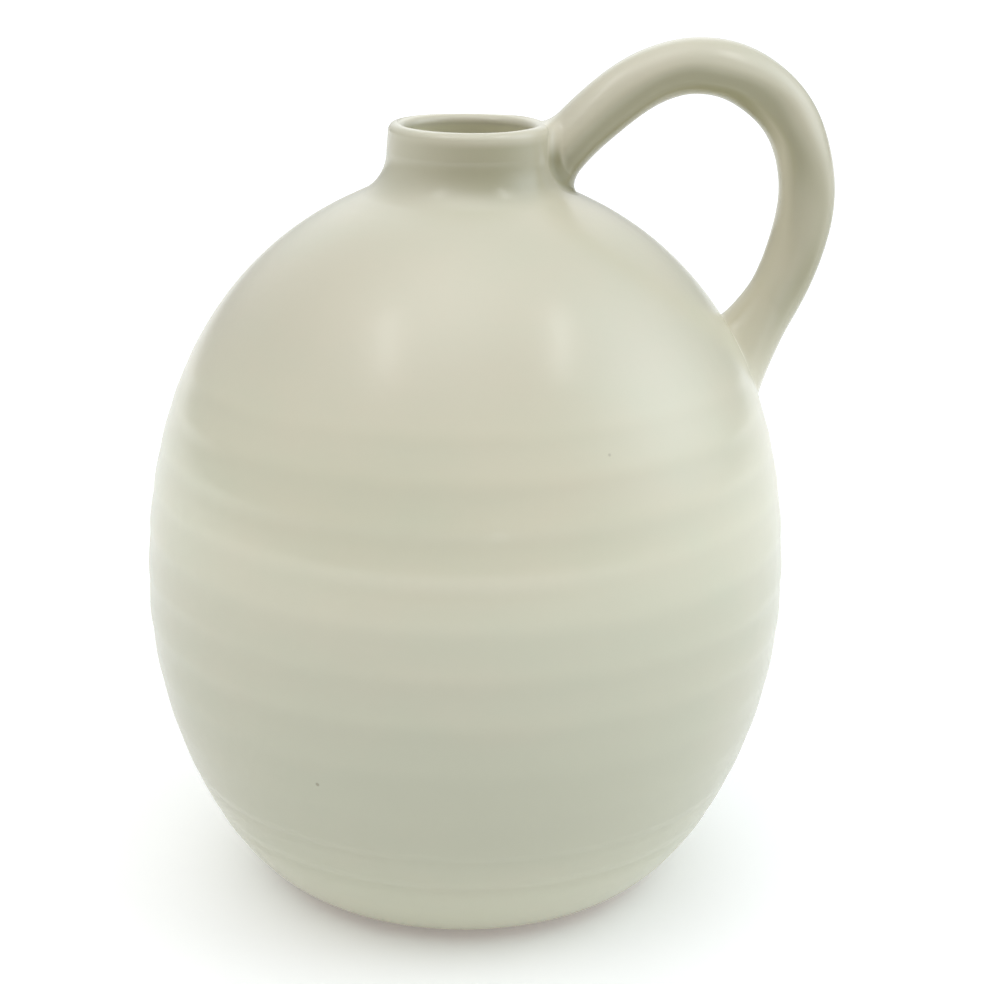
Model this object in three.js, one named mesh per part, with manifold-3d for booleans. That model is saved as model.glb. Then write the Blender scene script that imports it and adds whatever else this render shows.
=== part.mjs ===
// Ceramic jug: a round thrown belly on a slab base, a short neck with a rounded lip,
// and a loop handle that springs from the lip and lands on the shoulder of the belly.
// Millimetres, +Z up. The origin is the middle of the flat underside, and the handle points along +X.

import * as THREE from 'three';
import { mergeVertices } from 'three/addons/utils/BufferGeometryUtils.js';
import Module from 'manifold-3d';

// Belly
const bellyRadius = 95;
const equatorHeight = 90.7;
const shoulderHeight = 204.5;
const shoulderRadius = 36;
const shoulderSlope = THREE.MathUtils.degToRad(25.8);
const upperFullness = 69.9;
const shoulderFullness = 30.4;
const lowerFullness = 39.6;
const wallThickness = 4.6;

// Base
const footRadius = 56;
const footHeight = 2.5;
const footEdge = 1.8;
const footInset = 2.9;
const footSlope = THREE.MathUtils.degToRad(21.9);
const footFullness = 18.5;
const floorThickness = 8;

// Neck
const mouthRadius = 18.2;
const neckRise = 22.5;
const neckFlare = 0.5;
const neckFilletRadius = 13.3;

// Handle
const handleRadius = 8.05;
const handleRise = 15.9;
const handleApexReach = 41.1;
const handleOverhang = 4.1;
const handleOuterDrop = 21.4;
const handleTopDrop = 12.1;
const handleTopSlope = THREE.MathUtils.degToRad(53.8);
const handleFootHeight = 158.6;
const handleFootSlope = THREE.MathUtils.degToRad(58.7);
const handleBends = { start: 14.2, beforeApex: 15.4, afterApex: 20.1, aboveOuter: 20.7, belowOuter: 16.7, end: 18.7 };

// Clay pressed into the corners round the handle's two roots: how far it reaches up the outer
// and the inner side of the handle, and how far over the body
const upperFillet = { outer: 5.5, inner: 6.5, onBody: 4, fullness: 0.4 };
const lowerFillet = { outer: 21, inner: 9, onBody: 5, fullness: 0.65 };
const filletSink = 1.2;

// Gap left wherever one curved piece is fitted against another
const fitGap = 0.3;

// Mesh steps
const latheSteps = 60;
const outerStep = 9;
const innerStep = 15;
const handleSides = 20;
const handleSteps = 40;
const filletSides = 30;
const filletBands = 5;

const glazeColour = 0xd6d3c0;
const bareClayColour = 0xd8cdb8;

const wasm = await Module();
wasm.setup();

const rimHeight = shoulderHeight + neckRise;
const lipRadius = wallThickness / 2;
const lipOuterRadius = mouthRadius + wallThickness;
const neckRadius = lipOuterRadius + neckFlare;
const bellyFootRadius = footRadius + footInset;

// The bar of the handle starts this far inside the body, which then cuts it off at its skin
const handleRootDepth = 3 * handleRadius;

// Points of a circular arc, from one angle to another.
function arcPoints(centre, radius, fromAngle, toAngle, count) {
  const points = [];
  for (let i = 0; i <= count; i++) {
    const angle = THREE.MathUtils.lerp(fromAngle, toAngle, i / count);
    points.push(new THREE.Vector2(
      centre.x + radius * Math.cos(angle),
      centre.y + radius * Math.sin(angle),
    ));
  }
  return points;
}

// The jug's outside from the crest of the lip down to the foot, as radius and height.
function outsideOutline(step) {
  const lipCentre = new THREE.Vector2(mouthRadius + lipRadius, rimHeight - lipRadius);
  const lip = arcPoints(lipCentre, lipRadius, Math.PI / 2, 0, 5);

  const turn = Math.PI / 2 - shoulderSlope;
  const run = shoulderRadius - neckRadius - neckFilletRadius * (1 - Math.cos(turn));
  const straight = run / Math.cos(shoulderSlope);
  const filletTop = shoulderHeight + straight * Math.sin(shoulderSlope) + neckFilletRadius * Math.sin(turn);
  const filletCentre = new THREE.Vector2(neckRadius + neckFilletRadius, filletTop);
  const fillet = arcPoints(filletCentre, neckFilletRadius, Math.PI, Math.PI + turn, 6);

  const shoulder = new THREE.CubicBezierCurve(
    new THREE.Vector2(shoulderRadius, shoulderHeight),
    new THREE.Vector2(
      shoulderRadius + shoulderFullness * Math.cos(shoulderSlope),
      shoulderHeight - shoulderFullness * Math.sin(shoulderSlope),
    ),
    new THREE.Vector2(bellyRadius, equatorHeight + upperFullness),
    new THREE.Vector2(bellyRadius, equatorHeight),
  );
  const underside = new THREE.CubicBezierCurve(
    new THREE.Vector2(bellyRadius, equatorHeight),
    new THREE.Vector2(bellyRadius, equatorHeight - lowerFullness),
    new THREE.Vector2(
      bellyFootRadius + footFullness * Math.cos(footSlope),
      footHeight + footFullness * Math.sin(footSlope),
    ),
    new THREE.Vector2(bellyFootRadius, footHeight),
  );
  const spaced = (curve) => curve.getSpacedPoints(Math.ceil(curve.getLength() / step));
  return [...lip, ...fillet, ...spaced(shoulder), ...spaced(underside).slice(1)];
}

// An outline moved sideways along its own normals: inwards for a positive distance.
function offsetOutline(outline, distance) {
  return outline.map((point, i) => {
    const before = outline[Math.max(i - 1, 0)];
    const after = outline[Math.min(i + 1, outline.length - 1)];
    const along = after.clone().sub(before).normalize();
    return new THREE.Vector2(point.x + along.y * distance, point.y - along.x * distance);
  });
}

// The inside of the wall: the outside moved in by the wall, and run on straight at its lower end.
function insideOutline() {
  const outside = outsideOutline(innerStep).filter((point) => point.y < rimHeight - lipRadius - 1e-6);
  outside.unshift(new THREE.Vector2(lipOuterRadius, rimHeight - lipRadius));
  const inside = offsetOutline(outside, wallThickness);
  inside[0].set(mouthRadius, rimHeight - lipRadius);
  const last = inside.at(-1);
  const end = last.clone().sub(inside.at(-2)).setLength(bellyRadius).add(last);
  return [...inside, end];
}

// The stretch of a falling outline between two heights, with a point exactly on each.
function stretch(outline, top, bottom) {
  const result = [];
  outline.forEach((point, i) => {
    const before = outline[i - 1];
    for (const level of [top, bottom]) {
      if (before && (before.y - level) * (point.y - level) < 0) {
        const share = (before.y - level) / (before.y - point.y);
        result.push(new THREE.Vector2(THREE.MathUtils.lerp(before.x, point.x, share), level));
      }
    }
    if (point.y <= top && point.y >= bottom) {
      result.push(point.clone());
    }
  });
  return result;
}

// Only positions, with shared corners merged and triangles of no area left out.
function weld(geometry) {
  geometry.deleteAttribute('normal');
  geometry.deleteAttribute('uv');
  const welded = mergeVertices(geometry, 1e-4);
  const corners = welded.index.array;
  const kept = [];
  for (let i = 0; i < corners.length; i += 3) {
    const [a, b, c] = corners.slice(i, i + 3);
    if (a !== b && b !== c && c !== a) {
      kept.push(a, b, c);
    }
  }
  welded.setIndex(kept);
  return welded;
}

// A closed profile turned about the Z axis.
function turned(profile) {
  const geometry = new THREE.LatheGeometry(profile, latheSteps);
  geometry.rotateX(Math.PI / 2);
  return weld(geometry);
}

function toSolid(geometry) {
  return new wasm.Manifold(new wasm.Mesh({
    numProp: 3,
    vertProperties: new Float32Array(geometry.attributes.position.array),
    triVerts: new Uint32Array(geometry.index.array),
  }));
}

function toGeometry(solid) {
  const mesh = solid.getMesh();
  const geometry = new THREE.BufferGeometry();
  geometry.setAttribute('position', new THREE.BufferAttribute(mesh.vertProperties, 3));
  geometry.setIndex(new THREE.BufferAttribute(mesh.triVerts, 1));
  geometry.computeVertexNormals();
  return geometry;
}

// The handle's centre line: out of the neck, over its top, down its outside and into the belly.
function handlePath() {
  const at = (x, z) => new THREE.Vector3(x, 0, z);
  const upward = at(Math.cos(handleTopSlope), Math.sin(handleTopSlope));
  const downward = at(-Math.cos(handleFootSlope), -Math.sin(handleFootSlope));
  const start = at(neckRadius, rimHeight - handleTopDrop);
  const apex = at(neckRadius + handleApexReach, rimHeight + handleRise);
  const outer = at(bellyRadius + handleOverhang, rimHeight - handleOuterDrop);
  const end = at(skinRadiusAt(handleFootHeight), handleFootHeight);
  const from = (point, direction, length) => point.clone().addScaledVector(direction, length);
  const path = new THREE.CurvePath();
  path.add(new THREE.LineCurve3(from(start, upward, -handleRootDepth), start));
  path.add(new THREE.CubicBezierCurve3(
    start,
    from(start, upward, handleBends.start),
    at(apex.x - handleBends.beforeApex, apex.z),
    apex,
  ));
  path.add(new THREE.CubicBezierCurve3(
    apex,
    at(apex.x + handleBends.afterApex, apex.z),
    at(outer.x, outer.z + handleBends.aboveOuter),
    outer,
  ));
  path.add(new THREE.CubicBezierCurve3(
    outer,
    at(outer.x, outer.z - handleBends.belowOuter),
    from(end, downward, -handleBends.end),
    end,
  ));
  path.add(new THREE.LineCurve3(end, from(end, downward, handleRootDepth)));
  return path;
}

// The outside radius of the body at a height.
function skinRadiusAt(height) {
  const i = skin.findIndex((point) => point.y <= height);
  const share = (skin[i - 1].y - height) / (skin[i - 1].y - skin[i].y);
  return THREE.MathUtils.lerp(skin[i - 1].x, skin[i].x, share);
}

// Where a point lies against the skin: how far along it, and how far outside it.
function againstSkin(radius, height) {
  let best = { gap: Infinity };
  for (let i = 1; i < skin.length; i++) {
    const edge = skin[i].clone().sub(skin[i - 1]);
    const to = new THREE.Vector2(radius, height).sub(skin[i - 1]);
    const share = THREE.MathUtils.clamp(to.dot(edge) / edge.lengthSq(), 0, 1);
    const away = to.clone().addScaledVector(edge, -share);
    if (away.length() < Math.abs(best.gap)) {
      const side = Math.sign(edge.x * to.y - edge.y * to.x);
      best = { gap: side * away.length(), along: skinLengths[i - 1] + share * edge.length() };
    }
  }
  return best;
}

// The point of the skin at a length along it, and at an angle round the jug.
function onSkin(along, angle, depth) {
  const length = THREE.MathUtils.clamp(along, 0, skinLengths.at(-1));
  const i = Math.max(1, skinLengths.findIndex((value) => value >= length));
  const share = (length - skinLengths[i - 1]) / (skinLengths[i] - skinLengths[i - 1]);
  const edge = skin[i].clone().sub(skin[i - 1]).normalize();
  const point = skin[i - 1].clone().lerp(skin[i], share);
  const radius = point.x + edge.y * depth;
  return new THREE.Vector3(radius * Math.cos(angle), radius * Math.sin(angle), point.y - edge.x * depth);
}

// A point of a round bar about the handle's centre line, at a length along it and an angle round it.
function onHandle(path, along, turnAngle, radius) {
  const share = along / path.getLength();
  const tangent = path.getTangentAt(share);
  const inPlane = new THREE.Vector3(-tangent.z, 0, tangent.x);
  return path.getPointAt(share)
    .addScaledVector(inPlane, radius * Math.cos(turnAngle))
    .add(new THREE.Vector3(0, radius * Math.sin(turnAngle), 0));
}

// The length along the handle at which its surface meets the skin, found by halving.
function rootLength(path, turnAngle, inLength, outLength) {
  let inside = inLength;
  let outside = outLength;
  for (let i = 0; i < 30; i++) {
    const middle = (inside + outside) / 2;
    const point = onHandle(path, middle, turnAngle, handleRadius);
    if (againstSkin(Math.hypot(point.x, point.y), point.z).gap > 0) {
      outside = middle;
    } else {
      inside = middle;
    }
  }
  return (inside + outside) / 2;
}

// One slice of a root fillet: a closed loop from the handle, over a hollow curve, to the body.
function filletSlice(path, turnAngle, inLength, outLength, legs) {
  const outward = Math.sign(outLength - inLength);
  const root = rootLength(path, turnAngle, inLength, outLength);
  const corner = onHandle(path, root, turnAngle, handleRadius);
  const place = againstSkin(Math.hypot(corner.x, corner.y), corner.z);
  const angle = Math.atan2(corner.y, corner.x);
  const clear = onHandle(path, root, turnAngle, handleRadius + legs.onBody);
  const clearPlace = againstSkin(Math.hypot(clear.x, clear.y), clear.z);
  const step = new THREE.Vector2(
    clearPlace.along - place.along,
    (Math.atan2(clear.y, clear.x) - angle) * Math.hypot(corner.x, corner.y),
  ).setLength(legs.onBody);
  const skinAt = (share, depth) => onSkin(
    place.along + step.x * share,
    angle + (step.y * share) / Math.hypot(corner.x, corner.y),
    depth,
  );
  const reach = THREE.MathUtils.lerp(legs.inner, legs.outer, (1 + Math.cos(turnAngle)) / 2);
  const handleAt = (share, radius) => onHandle(path, root + outward * reach * share, turnAngle, radius);
  const blend = new THREE.CubicBezierCurve3(
    handleAt(1, handleRadius),
    handleAt(legs.fullness, handleRadius),
    skinAt(legs.fullness, 0),
    skinAt(1, 0),
  );
  return [
    handleAt(1, handleRadius - filletSink),
    ...blend.getPoints(filletBands),
    skinAt(1, filletSink),
    onHandle(path, root - outward * filletSink, turnAngle, handleRadius - filletSink),
  ];
}

// Fillet slices all round a root, joined into one ring.
function filletRing(path, inLength, outLength, legs) {
  const slices = [];
  for (let i = 0; i < filletSides; i++) {
    slices.push(filletSlice(path, (2 * Math.PI * i) / filletSides, inLength, outLength, legs));
  }
  const count = slices[0].length;
  const positions = slices.flat().flatMap((point) => [point.x, point.y, point.z]);
  const index = [];
  for (let i = 0; i < filletSides; i++) {
    for (let j = 0; j < count; j++) {
      const a = i * count + j;
      const b = i * count + ((j + 1) % count);
      const c = ((i + 1) % filletSides) * count + j;
      const d = ((i + 1) % filletSides) * count + ((j + 1) % count);
      if (outLength > inLength) {
        index.push(a, c, b, b, c, d);
      } else {
        index.push(a, b, c, b, d, c);
      }
    }
  }
  const geometry = new THREE.BufferGeometry();
  geometry.setAttribute('position', new THREE.Float32BufferAttribute(positions, 3));
  geometry.setIndex(index);
  return geometry;
}

// A round bar along the handle's centre line, closed at both ends.
function handleBar(path, radius) {
  const section = new THREE.Shape();
  section.absarc(0, 0, radius, 0, 2 * Math.PI);
  return weld(new THREE.ExtrudeGeometry(section, {
    steps: handleSteps,
    curveSegments: handleSides / 2,
    extrudePath: path,
  }));
}

// The body with nothing hollow in it, grown by the fit gap, that cuts what is fitted against it.
function bodyCutter() {
  const grown = offsetOutline(outsideOutline(outerStep), -fitGap);
  const crest = new THREE.Vector2(0, rimHeight + fitGap);
  const bottom = new THREE.Vector2(0, footHeight);
  return turned([bottom, ...grown.reverse(), crest]);
}

function neckGeometry() {
  const lipTop = rimHeight - lipRadius;
  const outside = stretch(outsideOutline(outerStep), rimHeight, shoulderHeight);
  const inside = stretch(insideOutline(), lipTop, shoulderHeight);
  const lipCentre = new THREE.Vector2(mouthRadius + lipRadius, lipTop);
  const innerLip = arcPoints(lipCentre, lipRadius, Math.PI, Math.PI / 2, 5).slice(1, -1);
  const profile = [...outside.reverse(), ...innerLip.reverse(), ...inside];
  return turned([...profile, profile[0].clone()]);
}

function bellyGeometry() {
  const outside = stretch(outsideOutline(outerStep), shoulderHeight, floorThickness);
  const inside = stretch(insideOutline(), shoulderHeight, floorThickness);
  const profile = [...outside.reverse(), ...inside];
  return turned([...profile, profile[0].clone()]);
}

function baseGeometry() {
  const side = stretch(outsideOutline(outerStep), floorThickness, footHeight);
  const edgeCentre = new THREE.Vector2(footRadius - footEdge, footEdge);
  const footCorner = arcPoints(edgeCentre, footEdge, -Math.PI / 2, 0, 4);
  return turned([
    new THREE.Vector2(0, 0),
    ...footCorner,
    new THREE.Vector2(footRadius, footHeight),
    ...side.reverse(),
    new THREE.Vector2(0, floorThickness),
  ]);
}

const skin = outsideOutline(outerStep);
const skinLengths = [0];
for (let i = 1; i < skin.length; i++) {
  skinLengths.push(skinLengths[i - 1] + skin[i].distanceTo(skin[i - 1]));
}

const path = handlePath();
const pathLength = path.getLength();
const rootSearch = 2 * handleRootDepth;
const body = toSolid(bodyCutter());
const handle = toSolid(handleBar(path, handleRadius)).subtract(body);
const handleCutter = toSolid(handleBar(path, handleRadius + fitGap));
const upperRing = toSolid(filletRing(path, 0, rootSearch, upperFillet));
const lowerRing = toSolid(filletRing(path, pathLength, pathLength - rootSearch, lowerFillet));

const glaze = () => new THREE.MeshStandardMaterial({ color: glazeColour, roughness: 0.45, metalness: 0 });
const bareClay = () => new THREE.MeshStandardMaterial({ color: bareClayColour, roughness: 0.9, metalness: 0 });

const jug = new THREE.Group();
function addPiece(name, geometry, material) {
  const mesh = new THREE.Mesh(geometry, material);
  mesh.name = name;
  jug.add(mesh);
}

addPiece('base', baseGeometry(), bareClay());
addPiece('belly', bellyGeometry(), glaze());
addPiece('neck', neckGeometry(), glaze());
addPiece('handle', toGeometry(handle), glaze());
addPiece('upper_handle_joint', toGeometry(upperRing.subtract(body).subtract(handleCutter)), glaze());
addPiece('lower_handle_joint', toGeometry(lowerRing.subtract(body).subtract(handleCutter)), glaze());

export default jug;
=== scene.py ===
"""A thrown ceramic jug with a satin cream glaze: a round belly, a short neck and a loop handle.

Every size is in metres. The jug stands on its flat underside at the origin, with +Z up and its handle
towards +X.
"""

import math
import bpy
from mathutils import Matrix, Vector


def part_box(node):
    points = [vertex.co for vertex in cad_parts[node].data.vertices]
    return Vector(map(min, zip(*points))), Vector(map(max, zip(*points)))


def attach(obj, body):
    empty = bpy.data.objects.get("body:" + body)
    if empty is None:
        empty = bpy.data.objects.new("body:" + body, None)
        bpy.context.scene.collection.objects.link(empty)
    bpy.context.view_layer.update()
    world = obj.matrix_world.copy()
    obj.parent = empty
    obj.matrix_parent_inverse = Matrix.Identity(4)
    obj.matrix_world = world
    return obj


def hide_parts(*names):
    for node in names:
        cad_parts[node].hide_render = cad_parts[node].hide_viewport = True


bl_info = {
    "name": "Ceramic Jug",
    "version": (1, 0, 0),
    "blender": (4, 5, 0),
    "location": "View3D > Sidebar > Jug",
    "description": "Builds a thrown ceramic jug with a loop handle, its satin glaze and a pale studio",
    "category": "Add Mesh",
}

import bpy
import numpy as np
from bpy.props import FloatProperty, FloatVectorProperty, IntProperty, PointerProperty
from mathutils import Matrix, Vector

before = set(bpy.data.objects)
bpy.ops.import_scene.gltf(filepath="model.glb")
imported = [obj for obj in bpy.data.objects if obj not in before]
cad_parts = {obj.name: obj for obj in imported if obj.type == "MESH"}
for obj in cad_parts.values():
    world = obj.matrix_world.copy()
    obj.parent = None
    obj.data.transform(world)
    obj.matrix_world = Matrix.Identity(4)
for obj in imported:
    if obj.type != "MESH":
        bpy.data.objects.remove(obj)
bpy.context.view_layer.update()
BELLY_LOW, BELLY_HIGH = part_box("belly")
_, NECK_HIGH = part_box("neck")
_, HANDLE_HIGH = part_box("handle")

BODY = "root"
RINGS_ATTRIBUTE = "rings"
PAINTED_SHADE_ATTRIBUTE = "handle_painted_shade"
SKIN_ATTRIBUTE = "skin_share"

# Points round the body, the handle and each joint
BODY_COLUMNS = 320
HANDLE_COLUMNS = 72
JOINT_COLUMNS = 160

# Distances between rows of points: on finely shaped and on plain clay, on the ringed belly, and inside it
FINE_ROWS = 0.0006
PLAIN_ROWS = 0.0012
RINGED_ROWS = 0.001
INNER_ROWS = 0.006

# Slow waves that keep the clay from being quite round: share, waves round, radians per metre, and start
WALL_WAVES = ((1.0, 2, 9, 0.0), (0.6, 3, -31, 0.0), (0.4, 5, 47, 0.0))
ROLL_WAVES = ((1.0, 2, 150, 0.0), (0.7, -3, 233, 1.0))

# Heights over which a mark or a tone of the glaze comes in or goes out, the second from the top ring
RINGS_COME_IN = (0.004, 0.024)
RINGS_GO_OUT = (-0.004, 0.006)
RING_TONE_COMES_IN = (0.04, 0.09)
WARM_TONE_COMES_IN = (0.02, 0.22)
# These two bound painted shade: darker low on the belly, less so at the foot
FOOT_SHADE_GOES_OUT = (0.01, 0.045)
LOW_SHADE_GOES_OUT = (0.045, 0.13)
RING_LIGHT_COMES_IN = (0.10, 0.125)
RING_LIGHT_GOES_OUT = (0.155, 0.18)
# Where the handle's painted shade comes in above the belly
HANDLE_PAINTED_SHADE_COMES_IN = (0.158, 0.192)

# Soft lights of the surroundings: degrees from the camera's side towards the picture's right, degrees up,
# strength, and how much bluer than white
SOFT_LIGHTS = {
    "back_wall": (180, 30, 1.7, 0.04),
    "right_wing": (90, 30, 2.25, 0.1),
    "left_wing": (270, 30, 0.3, 0.1),
    "left_rear": (225, 30, 0.5, 0.1),
    "left_overhead": (300, 60, 1.35, 0.0),
    "front_overhead": (5, 60, 0.65, 0.0),
    "ceiling": (0, 90, 1.22, 0.0),
}
# Strip lamps: degrees from the camera's side towards the picture's right, degrees up, degrees that each
# leans, and watts
STRIP_LAMPS = {"left_strip": (-53.5, 55, 43, 0.8), "right_strip": (62, 53.5, -49, 1.15)}


def length(description, default):
    """A length in metres."""
    return FloatProperty(
        description=description, default=default, subtype="DISTANCE", unit="LENGTH", precision=5
    )


def angle(description, degrees):
    """An angle, given in degrees."""
    return FloatProperty(
        description=description, default=math.radians(degrees), subtype="ANGLE", unit="ROTATION"
    )


def factor(description, default):
    """A plain number."""
    return FloatProperty(description=description, default=default)


def colour(description, default):
    """A linear colour."""
    return FloatVectorProperty(
        description=description, default=default, size=3, min=0, max=1, subtype="COLOR"
    )


class JugBody(bpy.types.PropertyGroup):
    """Sizes of the base, the belly and the neck."""

    belly_radius: length("Widest outside radius of the belly", BELLY_HIGH.y)
    equator_height: length("Height of the belly's widest ring", 0.0907)
    shoulder_height: length("Height at which the neck is joined on", BELLY_HIGH.z)
    shoulder_radius: length("Outside radius where the neck is joined on", NECK_HIGH.y)
    shoulder_slope: angle("Fall of the shoulder where it leaves the neck", 25.8)
    shoulder_fullness: length("How far the shoulder keeps its slope", 0.0304)
    upper_fullness: length("How far the belly stays upright above its equator", 0.0699)
    lower_fullness: length("How far the belly stays upright below its equator", 0.0396)
    wall_thickness: length("Thickness of the thrown wall", 0.0046)
    floor_thickness: length("Height of the floor inside", BELLY_LOW.z)
    foot_radius: length("Outside radius of the turned foot", 0.056)
    foot_height: length("Height of the turned foot", 0.0025)
    foot_edge: length("Rounding of the foot's lower edge", 0.0018)
    foot_inset: length("How far the foot is cut in under the belly", 0.0029)
    foot_slope: angle("Rise of the belly where it leaves the foot", 21.9)
    foot_fullness: length("How far the underside keeps that rise", 0.0185)
    rim_height: length("Height of the lip's crest", NECK_HIGH.z)
    mouth_radius: length("Inside radius of the mouth", 0.0182)
    neck_flare: length("How much wider the neck is than the lip", 0.0005)
    neck_fillet_radius: length("Hollow between the neck and the shoulder", 0.0133)


class JugRelief(bpy.types.PropertyGroup):
    """The marks of the potter's fingers and tools on the wall."""

    ring_depth: length("Swing of the strongest throwing ring to each side of the wall", 0.00013)
    faint_depth: length("Swing of the faintest throwing ring", 0.00006)
    ring_patchiness: factor("How much the rings' depth changes round the jug", 0.3)
    ring_top: length("Height of the highest clear ring", 0.1583)
    ring_spacing: length("Distance between the highest rings", 0.011)
    ring_widening: factor("How fast the rings get wider apart down the belly", 0.045)
    ring_centre: length("Height of the strongest ring", 0.098)
    ring_spread: length("How far above and below it the rings fade", 0.027)
    ring_tilt: length("How far a ring climbs from one side of the jug to the other", 0.0012)
    ring_wander: length("How far a ring wavers round the jug", 0.0004)
    line_depth: length("Depth of the two turned lines above the foot", 0.00022)
    line_width: length("Half width of those lines", 0.0018)
    upper_line: length("Height of the upper turned line", 0.038)
    lower_line: length("Height of the lower turned line", 0.0268)
    nub_height: length("Height of the small blister in the glaze", 0.1368)
    nub_turn: angle("Angle of the blister round the jug", -91.0)
    nub_size: length("Half width of the blister", 0.0021)
    nub_rise: length("How far the blister stands out", 0.00022)
    unevenness: length("How far the thrown wall strays from round", 0.00015)


class JugHandle(bpy.types.PropertyGroup):
    """Sizes of the handle and of the clay pressed round its ends."""

    radius: length("Radius of the roll of clay", HANDLE_HIGH.y)
    taper: length("How much thinner the roll is at the neck, and thicker at the belly", 0.00028)
    apex_height: length("Top of the handle", HANDLE_HIGH.z)
    apex_reach: length("How far the apex of the centre line stands out from the neck", 0.0411)
    outer_reach: length("Outermost point of the handle", HANDLE_HIGH.x)
    outer_drop: length("How far below the rim the handle reaches out furthest", 0.0214)
    top_drop: length("How far below the rim the centre line leaves the neck", 0.0121)
    top_slope: angle("Rise of the handle where it leaves the neck", 53.8)
    foot_height: length("Height at which the centre line meets the belly", 0.1586)
    foot_slope: angle("Fall of the handle where it meets the belly", 58.7)
    bend_start: length("Straightness of the centre line as it leaves the neck", 0.0142)
    bend_before_apex: length("Straightness just before the apex", 0.0154)
    bend_after_apex: length("Straightness just after the apex", 0.0201)
    bend_above_outer: length("Straightness just above the outermost point", 0.0207)
    bend_below_outer: length("Straightness just below the outermost point", 0.0167)
    bend_end: length("Straightness of the centre line as it meets the belly", 0.0187)
    unevenness: length("How far the pulled roll strays from round", 0.00012)
    sink: length("How deep the pieces of clay run into each other", 0.0015)
    upper_outer: length("Reach of the upper clay up the outer side of the handle", 0.0055)
    upper_inner: length("Reach of the upper clay up the inner side of the handle", 0.0065)
    upper_body: length("Reach of the upper clay over the neck", 0.004)
    upper_fullness: factor("How far the upper clay fills its corner", 0.4)
    lower_outer: length("Reach of the lower clay up the outer side of the handle", 0.021)
    lower_inner: length("Reach of the lower clay up the inner side of the handle", 0.016)
    lower_body: length("Reach of the lower clay over the belly, outside the loop", 0.005)
    lower_notch: length("Reach of the lower clay over the belly, inside the loop", 0.003)
    lower_fullness: factor("How far the lower clay fills its corner", 0.65)


class JugFinish(bpy.types.PropertyGroup):
    """Colours and gloss of the glaze and of the bare clay."""

    glaze_warm: colour("The glaze where it breaks thin and warm", (0.675, 0.63, 0.485))
    glaze_green: colour("The glaze where it lies thick and greenish", (0.635, 0.632, 0.483))
    # Painted shade: the olive colour that the glaze is darkened towards where shade falls
    olive_painted_shade: colour("The glaze where it has run together", (0.25, 0.233, 0.112))
    # Painted light: a lighter colour for the glaze inside the mouth
    mouth_painted_light: colour("The glaze inside the mouth", (0.94, 0.89, 0.62))
    # Painted shade low on the belly and at the foot
    low_painted_shade: factor("How much darker the glaze is low on the belly", 0.17)
    foot_painted_shade: factor("How much darker the glaze is at the foot", 0.05)
    ring_lightness: factor("How much lighter the glaze is over the clear rings", 0.09)
    # The rings' tone is partly glaze pooling and partly painted light and shade of the rings
    ring_tone: factor("How much lighter the glaze is on a ring, and darker between two", 0.016)
    # Painted shade: these darken the glaze towards olive on the neck's front and back, on the handle's lower
    # and broad sides, and in the corner under the handle at the neck's joint
    neck_painted_shade_strength: factor("How olive the glaze is on the front and back of the neck", 0.54)
    neck_side_share: factor("The share of that at the neck's sides", 0.2)
    neck_turn: angle("Angle round the jug at which the neck's glaze lies thickest", -76.0)
    handle_painted_shade_strength: factor("How olive the glaze is under the handle", 0.8)
    joint_corner_painted_shade: factor("How thick the glaze has run into the corner of the neck's joint", 1.0)
    speck: colour("Iron specks in the glaze", (0.16, 0.11, 0.06))
    speck_place: FloatVectorProperty(
        description="Place of the speck that shows low on the belly", size=3,
        default=(-0.04799, -0.07831, 0.0615), subtype="TRANSLATION", unit="LENGTH", precision=5,
    )
    roughness: factor("Roughness of the satin glaze", 0.25)
    glaze_index: factor("Refractive index of the glaze", 1.6)
    clay: colour("The bare fired clay", (0.56, 0.45, 0.31))
    clay_dark: colour("Its darker grains", (0.36, 0.27, 0.17))


class JugStudio(bpy.types.PropertyGroup):
    """The camera at the photograph's viewing angle, the floor and the lights."""

    camera_distance: length("From the jug's axis, along the floor", 0.540)
    camera_height: length("Above the floor", 0.30028)
    camera_pitch: angle("How far the camera looks down", 18.762)
    camera_yaw: angle("How far the camera looks to the right of the axis", 0.811)
    camera_roll: angle("How far the camera leans", 0.703)
    handle_turn: angle("How far the handle is turned away from the camera", 6.0)
    focal_pixels: factor("Focal length in pixels of the photograph's frame", 1893.0)
    frame_pixels: IntProperty(description="Width of the photograph's frame in pixels", default=984)
    floor_radius: length("Radius of the pale floor", 8.0)
    floor: colour("Colour of the floor", (0.90, 0.90, 0.89))
    floor_glow: factor("Light that comes up through the floor, as through a light table", 0.24)
    backdrop: colour("Colour that is seen behind the jug", (1.0, 1.0, 1.0))
    narrowness: factor("How sharply each soft light of the surroundings falls off", 8.0)
    lamp_distance: length("From the jug to each strip lamp", 1.5)
    lamp_width: length("Width of each strip lamp", 0.1)
    lamp_height: length("Height of each strip lamp", 0.65)


# Curves and outlines


def bezier(start, start_handle, end_handle, end, steps):
    """A cubic Bezier curve: its four points weighted by the cubic Bernstein polynomials of the parameter."""
    t = np.linspace(0.0, 1.0, steps)[:, None]
    corners = [np.asarray(point, float) for point in (start, start_handle, end_handle, end)]
    weights = ((1 - t) ** 3, 3 * (1 - t) ** 2 * t, 3 * (1 - t) * t**2, t**3)
    return sum(weight * corner for weight, corner in zip(weights, corners))


def smooth_path(knots, steps):
    """Bezier curves from knot to knot: each knot is a point, a direction, and a fullness before and after."""
    points = [knots[0][0][None, :]]
    for (start, leaving, _, after), (end, arriving, before, _) in zip(knots, knots[1:]):
        curve = bezier(start, start + leaving * after, end - arriving * before, end, steps)
        points.append(curve[1:])
    return np.concatenate(points)


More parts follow.
